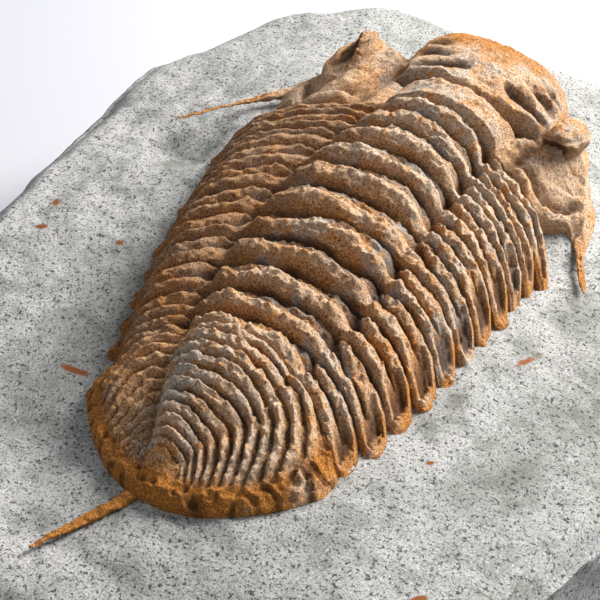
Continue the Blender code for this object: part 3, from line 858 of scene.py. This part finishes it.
def eye(side):
    """One tall eye: a turret with lenses on its outer face and a hollow under its crown."""
    mesh = rod(72, 54)
    flat = points_of(mesh)
    level = flat[:, 2] + 0.5
    angle = np.arctan2(flat[:, 1], flat[:, 0] * side)
    radius = np.hypot(flat[:, 0], flat[:, 1])
    skin = smooth(0.3, 0.7, radius)
    crown = EYE_TOP - EYE_CROWN_DROP[side]
    if side < 0:
        waist = 1.65 - 0.85 * smooth(0.0, 0.8, level) - 0.32 * smooth(0.8, 1.0, level)
    else:
        waist = 1.70 - 0.75 * smooth(0.0, 0.5, level) + 0.16 * smooth(0.5, 0.8, level)
        waist = waist - 0.35 * smooth(0.85, 1.0, level)
    kidney = 1 - 0.30 * ridge(np.abs(angle), np.pi, 0.8) * smooth(0.25, 0.7, level)
    stagger = np.floor(angle * LENS_COLUMNS / np.pi) * np.pi
    lenses = np.cos(angle * LENS_COLUMNS) * np.cos(level * LENS_ROW_ANGLE + stagger)
    outer = smooth(1.9, 1.2, np.abs(angle)) * smooth(0.35, 0.45, level) * smooth(0.86, 0.78, level)
    radius = radius * (waist * kidney + 0.03 * lenses * outer)
    x = radius * np.cos(angle) * side * EYE_RADIUS * 0.9
    s = radius * np.sin(angle) * EYE_RADIUS * 1.2
    top = smooth(0.9, 1.0, level)
    dome = 0.5 * top * (1 - np.minimum(radius, 1) ** 2) - 0.5 * top * np.cos(angle) * radius
    z = EYE_BASE + level * (crown - EYE_BASE) + dome
    x = side * (EYE_PLACES[side][0] + 0.4 * level) + x
    s = EYE_PLACES[side][1] + s
    local = np.stack([x, s, z], axis=-1)
    facing = EYE_HOLLOW_TURN[side]
    bite = ridge(angle, facing, 0.66) * ridge(level, EYE_HOLLOW_LEVEL[side], 0.18) * skin
    face = ridge(angle, -0.9, 0.6) * smooth(0.45, 0.6, level) * smooth(0.98, 0.9, level) * (side < 0)
    x = x - side * EYE_HOLLOW_DEPTH * bite * np.cos(facing)
    s = s - EYE_HOLLOW_DEPTH * bite * np.sin(facing)
    z = z + 0.9 * crust_relief(local, 300 + side)
    move_points(mesh, lay(x, s, z))
    worn = 0.5 + 0.4 * grain(local, 1.6, 45)
    stone = 0.6 * top * patches(local, 1.0, 46, 0.4, 0.7)
    # The hollow under the crown is darkened with painted shade together with brown staining; the face
    # term darkens part of the left eye's side
    return mesh, crust_masks(len(x), hollow=2.4 * bite + 1.3 * face, worn=worn, stone=stone)


def genal_spine(side):
    """One long cheek spine, from the shield's hind corner back along the body."""
    mesh = rod(36, 90)
    flat = points_of(mesh)
    t = flat[:, 2] + 0.5
    thick = GENAL_WIDTHS[side] * (0.22 + 0.78 * smooth(0.68, 0.08, t))
    thick = thick * (1 - 0.7 * smooth(0.9, 1.0, t))
    bow = GENAL_BOW * np.sin(np.pi * t)
    tip = GENAL_TIPS[side]
    x, s, z = (root + (end - root) * t for root, end in zip(GENAL_ROOTS[side], tip))
    x = x + bow + flat[:, 0] * side * thick
    z = z + flat[:, 1] * thick * (0.5 + 0.15 * (1 - t))
    z = z - 0.35 * ridge(flat[:, 0] * side, -0.1, 0.3) * (1 - t)
    local = np.stack([x, s, z], axis=-1)
    z = z + 0.7 * crust_relief(local, 310 + side) * (1 - 0.6 * t)
    move_points(mesh, lay(side * x, s, z))
    worn = 0.5 + 0.4 * grain(local, 2.0, 47) - 0.4 * t
    ochre = 0.75 * smooth(0.25, 0.9, t)
    return mesh, crust_masks(len(x), worn=worn, ochre=ochre)


def make_head(material):
    """Head shield with its eyes and cheek spines."""
    parts = [sheet_piece(head_shape, HEAD_CELLS, 400, HEAD_ROUGHNESS)]
    parts += [grow(side) for grow in (eye, genal_spine) for side in (-1, 1)]
    build("cephalon_crust", "cephalon", material, parts)


def slab_outline(angle):
    """Distance from the slab's middle to its edge."""
    edge = np.array(SLAB_EDGE)
    turns = np.degrees(np.arctan2(edge[:, 1], edge[:, 0]))
    order = np.argsort(turns)
    return np.interp(np.degrees(angle), turns[order], np.hypot(*edge.T)[order], period=360)


def body_distance(px, py):
    """Distance outside the fossil's outline on the bed, in millimetres and zero inside."""
    x, s = unlay(px, py)
    half = np.interp(s, OUTLINE_STATIONS, OUTLINE_HALF_WIDTHS)
    aside = np.maximum(np.abs(x) - half, 0)
    beyond = np.maximum(s - HEAD_FRONT, 0) + np.maximum(TAIL_END - s, 0)
    return np.hypot(aside, beyond)


def bed(px, py):
    """Top of the slab: it rises to hold the fossil's edges, with hollows and mounds around them."""
    x, s = unlay(px, py)
    waves = 0.5 * np.sin(px / 11 + 1.3) * np.cos(py / 14 - 0.4)
    clear = smooth(9, 15, np.abs(x) - HEAD_HALF_WIDTH)
    clear = np.maximum(clear, smooth(4, 14, s - HEAD_FRONT))
    clear = np.maximum(clear, smooth(0, 6, -s - SPINE_LENGTH))
    away = body_distance(px, py)
    hold = 0.85 * np.exp(-(away / 7) ** 2)
    hollow = 0.0
    for place, long, wide, depth in BED_HOLLOWS:
        hollow = hollow + depth * oval(px, py, place, long, wide)
    for place, long, wide, height in BED_MOUNDS:
        hollow = hollow - height * oval(px, py, place, long, wide)
    return BED_HEIGHT + bed_tilt(x, s) + waves * clear + core(x, s) + hold - hollow


def rust_spots(px, py):
    """Rust stains that lie on the bed beside the fossil, each a small oval at a turn."""
    total = 0 * px
    for place, long, wide, turn in RUST_SPOTS:
        dx = px - place[0]
        dy = py - place[1]
        u = dx * math.cos(turn) + dy * math.sin(turn)
        v = dy * math.cos(turn) - dx * math.sin(turn)
        total = total + np.exp(-(u / long) ** 2 - (v / wide) ** 2)
    return np.clip(total, 0, 1)


def rock_shade(px, py):
    """Dark patches of the rock, partly painted shadow beside the body, each an oval that fades outwards.
    """
    total = 0 * px
    for place, long, wide in ROCK_SHADES:
        total = total + oval(px, py, place, long, wide)
    return np.clip(total, 0, 1)


def veined_rock(px, py):
    """Where fine veins show: one near their lines and zero elsewhere."""
    nearest = 9.0 + 0 * px
    for line in ROCK_VEINS:
        for (x1, y1), (x2, y2) in zip(line, line[1:]):
            long = (x2 - x1) ** 2 + (y2 - y1) ** 2
            t = np.clip(((px - x1) * (x2 - x1) + (py - y1) * (y2 - y1)) / long, 0, 1)
            nearest = np.minimum(nearest, np.hypot(px - x1 - t * (x2 - x1), py - y1 - t * (y2 - y1)))
    return smooth(3.0, 1.0, nearest)


def make_slab(material):
    """The loose slab with a flat foot, broken sides and the uneven bed on top."""
    mesh = bmesh.new()
    columns, rows = SLAB_CELLS
    bmesh.ops.create_grid(mesh, x_segments=columns, y_segments=rows, size=1.0)
    flat = points_of(mesh)
    disc_x = flat[:, 0] * np.sqrt(1 - flat[:, 1] ** 2 / 2)
    disc_y = flat[:, 1] * np.sqrt(1 - flat[:, 0] ** 2 / 2)
    radius = np.hypot(disc_x, disc_y)
    angle = np.arctan2(disc_y, disc_x)
    px = radius * slab_outline(angle) * np.cos(angle)
    py = radius * slab_outline(angle) * np.sin(angle)
    py = py - (py.max() + py.min()) / 2
    px = px - (px.max() + px.min()) / 2
    px = px / np.abs(px).max() * SLAB_WIDTH / 2 / SIDE_SWELL
    py = py / np.abs(py).max() * SLAB_LENGTH / 2 / SIDE_SWELL
    pz = bed(px, py)
    places = np.stack([px, py, pz], axis=-1)
    chips = 0.5 + 0.5 * grain(places, 7.0, 81)
    depth = (1 - radius) * 55
    pz = pz - EDGE_CHIP_DEPTH * (1 + chips) * np.exp(-(depth / (1.0 + 2.2 * chips)) ** 2)
    relief_height = 0.30 * grain(places, 6.5, 82) + 0.16 * grain(places, 2.2, 83)
    relief_height = relief_height + 0.11 * grain(places, 0.9, 84)
    x, s = unlay(px, py)
    inside = np.clip(core(x, s) + BED_DROP, 0, 1)
    pz = pz + relief_height * (1 - inside)
    move_points(mesh, np.stack([px, py, pz], axis=-1))
    rim = [edge for edge in mesh.edges if edge.is_boundary]
    for step in range(1, SIDE_RINGS + 1):
        grown = bmesh.ops.extrude_edge_only(mesh, edges=rim)["geom"]
        rim = [item for item in grown if isinstance(item, bmesh.types.BMEdge)]
        ring = [item for item in grown if isinstance(item, bmesh.types.BMVert)]
        t = step / SIDE_RINGS
        places = np.array([vert.co for vert in ring]) / MM
        if step == 1:
            top_places = places.copy()
        bulge = 1 + 0.018 * math.sin(math.pi * min(t * 1.6, 1)) - 0.05 * max(t - 0.55, 0)
        turn = np.arctan2(top_places[:, 1], top_places[:, 0])
        height = top_places[:, 2] * (1 - t)
        noise_places = np.stack([top_places[:, 0], top_places[:, 1], height * 1.3], axis=-1)
        facets = 1.7 * np.abs(grain(noise_places, 10.0, 85)) + 0.7 * np.abs(grain(noise_places, 4.5, 86))
        facets = facets + 0.30 * np.abs(grain(noise_places, 2.2, 87))
        length = np.hypot(top_places[:, 0], top_places[:, 1])
        reach = length * bulge - facets * math.sin(math.pi * min(0.15 + 0.85 * t, 1)) ** 0.5
        for vert, x_new, y_new, z_new in zip(ring, reach * np.cos(turn), reach * np.sin(turn), height):
            vert.co = (x_new * MM, y_new * MM, z_new * MM)
    bmesh.ops.holes_fill(mesh, edges=rim, sides=0)
    final = points_of(mesh) / MM
    rust = rust_spots(final[:, 0], final[:, 1]) * np.where(final[:, 2] > BED_HEIGHT - 5, 1, 0)
    rust = rust * (0.85 + 0.4 * grain(final, 0.9, 88))
    upper = smooth(BED_HEIGHT - 8, BED_HEIGHT - 4, final[:, 2])
    # Dark greenish patches on the top only, partly painted shadow beside the body
    shade = rock_shade(final[:, 0], final[:, 1]) * upper * (0.8 + 0.5 * grain(final, 1.6, 89))
    veined = veined_rock(final[:, 0] + 0.3 * grain(final, 1.5, 92), final[:, 1]) * upper
    masks = {"rust": np.clip(rust, 0, 1), "shade": np.clip(shade, 0, 1), "veined": veined}
    build("matrix_slab_rock", "matrix_slab", material, [(mesh, masks)])


# Setting


def make_floor():
    """Plain pale floor."""
    mesh = bmesh.new()
    bmesh.ops.create_grid(mesh, x_segments=1, y_segments=1, size=3.0)
    data = bpy.data.meshes.new("pale_floor")
    mesh.to_mesh(data)
    mesh.free()
    material = bpy.data.materials.new("pale_floor_paper")
    material.use_nodes = True
    shader = material.node_tree.nodes["Principled BSDF"]
    shader.inputs["Base Color"].default_value = FLOOR_COLOR
    shader.inputs["Roughness"].default_value = 0.9
    data.materials.append(material)
    floor = bpy.data.objects.new("pale_floor", data)
    bpy.context.scene.collection.objects.link(floor)


def view_axes():
    """Right, up and back directions of the camera."""
    turn = math.radians(CAMERA_AZIMUTH)
    lift = math.radians(CAMERA_ELEVATION)
    back = Vector((math.sin(turn) * math.cos(lift), -math.cos(turn) * math.cos(lift), math.sin(lift)))
    level = Vector((math.cos(turn), math.sin(turn), 0))
    above = back.cross(level)
    roll = math.radians(CAMERA_ROLL)
    right = math.cos(roll) * level + math.sin(roll) * above
    up = math.cos(roll) * above - math.sin(roll) * level
    return right, up, back


def make_camera():
    """Camera at the photograph's viewing angle."""
    right, up, back = view_axes()
    data = bpy.data.cameras.new("camera")
    data.sensor_width = SENSOR_WIDTH
    data.lens = CAMERA_PIXELS / IMAGE_PIXELS * SENSOR_WIDTH
    data.clip_start = 0.01
    camera = bpy.data.objects.new("camera", data)
    place = Vector(CAMERA_PLACE) * MM
    turned = Matrix((right, up, back)).transposed().to_4x4()
    camera.matrix_world = Matrix.Translation(place) @ turned
    bpy.context.scene.collection.objects.link(camera)
    bpy.context.scene.camera = camera


def add_light(name, direction, distance, size, power, color):
    """A square soft light that looks at the fossil."""
    data = bpy.data.lights.new(name, "AREA")
    data.shape = "SQUARE"
    data.size = size
    data.energy = power
    data.color = color
    light = bpy.data.objects.new(name, data)
    target = Vector((0, 0, BED_HEIGHT * MM))
    direction = Vector(direction).normalized()
    light.location = target + direction * distance
    light.rotation_euler = direction.to_track_quat("Z", "Y").to_euler()
    bpy.context.scene.collection.objects.link(light)


def make_light():
    """Soft studio light from behind on the right, with a weak fill and a pale surround."""
    for values in LIGHTS:
        add_light(*values)
    world = bpy.data.worlds.new("pale_surround")
    world.use_nodes = True
    shade = world.node_tree.nodes["Background"]
    shade.inputs["Color"].default_value = SURROUND_COLOR
    shade.inputs["Strength"].default_value = SURROUND_STRENGTH
    bpy.context.scene.world = world
    bpy.context.scene.view_settings.view_transform = "Standard"


def main():
    make_camera()
    make_floor()
    make_light()
    grit_group()
    rock = rock_material()
    crust = crust_material()
    make_slab(rock)
    make_head(crust)
    make_segments(crust)
    make_tail(crust)


main()
